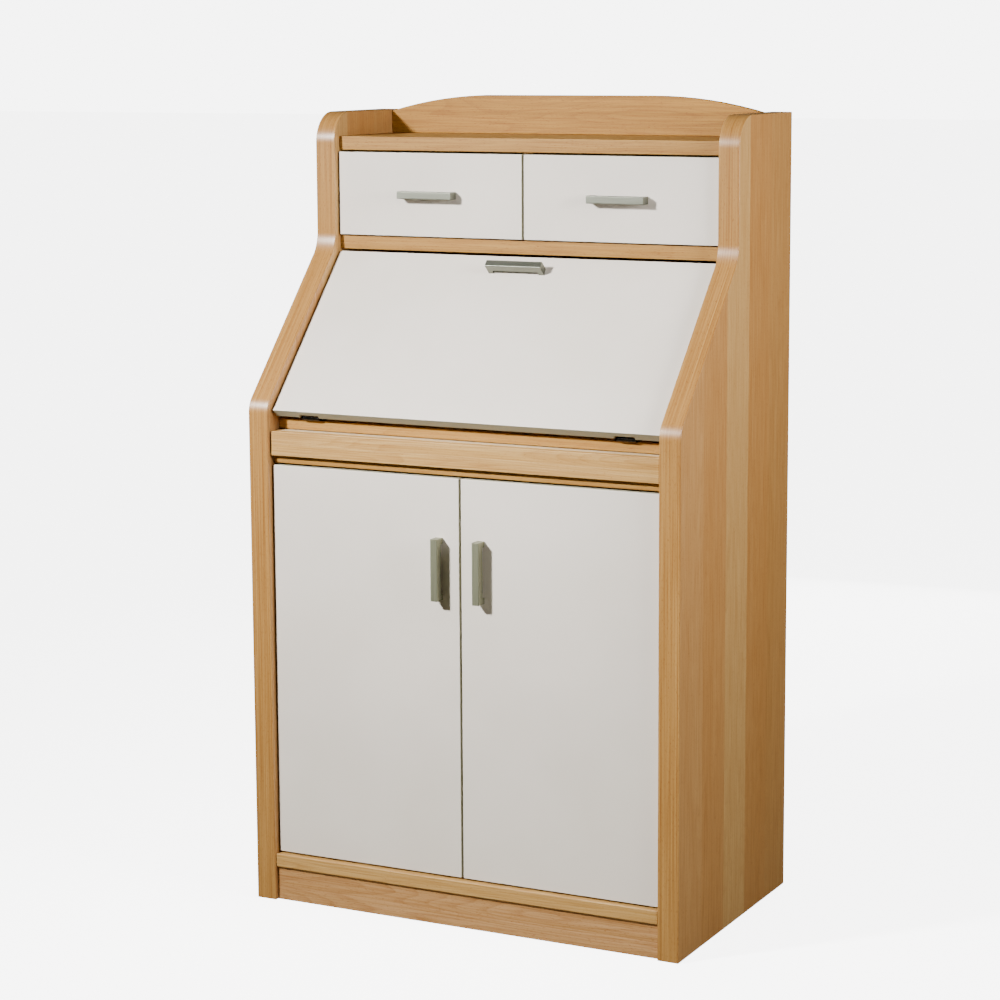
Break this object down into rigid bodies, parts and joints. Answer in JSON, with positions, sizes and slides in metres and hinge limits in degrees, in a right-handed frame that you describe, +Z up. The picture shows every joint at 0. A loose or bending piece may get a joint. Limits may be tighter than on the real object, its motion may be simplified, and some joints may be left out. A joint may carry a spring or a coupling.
{
  "type": "secretary desk",
  "caption": "Beech secretary desk with a sloping drop flap over a pull-out support, a pair of inset cabinet doors, small drawers above and a gallery with an arched back.",
  "frame": {"origin": "on the floor, at the middle of the desk's width and of its depth with the door handles included", "axes": "+X to the right as a person faces the desk, +Y to the back, +Z up; the doors and drawers face -Y"},
  "size_m": [0.74, 0.4494, 1.2825],
  "materials": {
    "beech_veneer": "satin beech decor",
    "dark_beech_veneer": "satin beech decor, darker",
    "cream_lacquer": "satin cream-white lacquer",
    "hardboard": "matt hardboard",
    "drawer_wood": "plain sanded wood",
    "satin_nickel": "brushed satin nickel",
    "black_steel": "glossy black",
    "zinc_steel": "zinc plated"
  },
  "bodies": {
    "carcass": {"left_side_panel": "beech_veneer", "right_side_panel": "beech_veneer", "gallery_back": "beech_veneer", "bottom_shelf": "beech_veneer", "cabinet_top_board": "beech_veneer", "writing_board": "beech_veneer", "middle_shelf": "beech_veneer", "top_shelf": "beech_veneer", "drawer_divider": "beech_veneer", "plinth": "dark_beech_veneer", "lower_back_panel": "hardboard", "upper_back_panel": "hardboard", "adjustable_shelf": "beech_veneer", "shelf_pin_left_front": "zinc_steel", "shelf_pin_left_back": "zinc_steel", "shelf_pin_right_front": "zinc_steel", "shelf_pin_right_back": "zinc_steel", "left_door_arm_1": "zinc_steel", "left_door_arm_2": "zinc_steel", "right_door_arm_1": "zinc_steel", "right_door_arm_2": "zinc_steel", "left_support_batten": "drawer_wood", "right_support_batten": "drawer_wood", "left_outer_runner": "drawer_wood", "left_inner_runner": "drawer_wood", "right_inner_runner": "drawer_wood", "right_outer_runner": "drawer_wood", "left_flap_hinge_leaf": "black_steel", "left_flap_hinge_pin": "black_steel", "right_flap_hinge_leaf": "black_steel", "right_flap_hinge_pin": "black_steel", "left_flap_stop": "beech_veneer", "right_flap_stop": "beech_veneer"},
    "drop_flap": {"flap": "cream_lacquer", "flap_handle": "satin_nickel", "left_flap_leaf": "black_steel", "right_flap_leaf": "black_steel"},
    "flap_support": {"support_rail": "beech_veneer", "support_board": "drawer_wood"},
    "left_door": {"left_door": "cream_lacquer", "left_door_handle": "satin_nickel", "left_door_cup_1": "zinc_steel", "left_door_cup_2": "zinc_steel"},
    "right_door": {"right_door": "cream_lacquer", "right_door_handle": "satin_nickel", "right_door_cup_1": "zinc_steel", "right_door_cup_2": "zinc_steel"},
    "left_drawer": {"left_drawer_front": "cream_lacquer", "left_drawer_left_side": "drawer_wood", "left_drawer_right_side": "drawer_wood", "left_drawer_back": "drawer_wood", "left_drawer_bottom": "hardboard", "left_drawer_handle": "satin_nickel"},
    "right_drawer": {"right_drawer_front": "cream_lacquer", "right_drawer_left_side": "drawer_wood", "right_drawer_right_side": "drawer_wood", "right_drawer_back": "drawer_wood", "right_drawer_bottom": "hardboard", "right_drawer_handle": "satin_nickel"}
  },
  "joints": [
    {"name": "flap_hinge", "type": "hinge", "parent": "carcass", "child": "drop_flap", "pos_m": [0, -0.18732, 0.7865], "axis": [1, 0, 0], "range_deg": [0, 133]},
    {"name": "support_slide", "type": "slide", "parent": "carcass", "child": "flap_support", "axis": [0, -1, 0], "range_m": [0, 0.25]},
    {"name": "left_door_hinge", "type": "hinge", "parent": "carcass", "child": "left_door", "pos_m": [-0.3225, -0.20492, 0.3954], "axis": [0, 0, -1], "range_deg": [0, 100]},
    {"name": "right_door_hinge", "type": "hinge", "parent": "carcass", "child": "right_door", "pos_m": [0.3225, -0.20492, 0.3954], "axis": [0, 0, 1], "range_deg": [0, 100]},
    {"name": "left_drawer_slide", "type": "slide", "parent": "carcass", "child": "left_drawer", "axis": [0, -1, 0], "range_m": [0, 0.13]},
    {"name": "right_drawer_slide", "type": "slide", "parent": "carcass", "child": "right_drawer", "axis": [0, -1, 0], "range_m": [0, 0.13]}
  ]
}
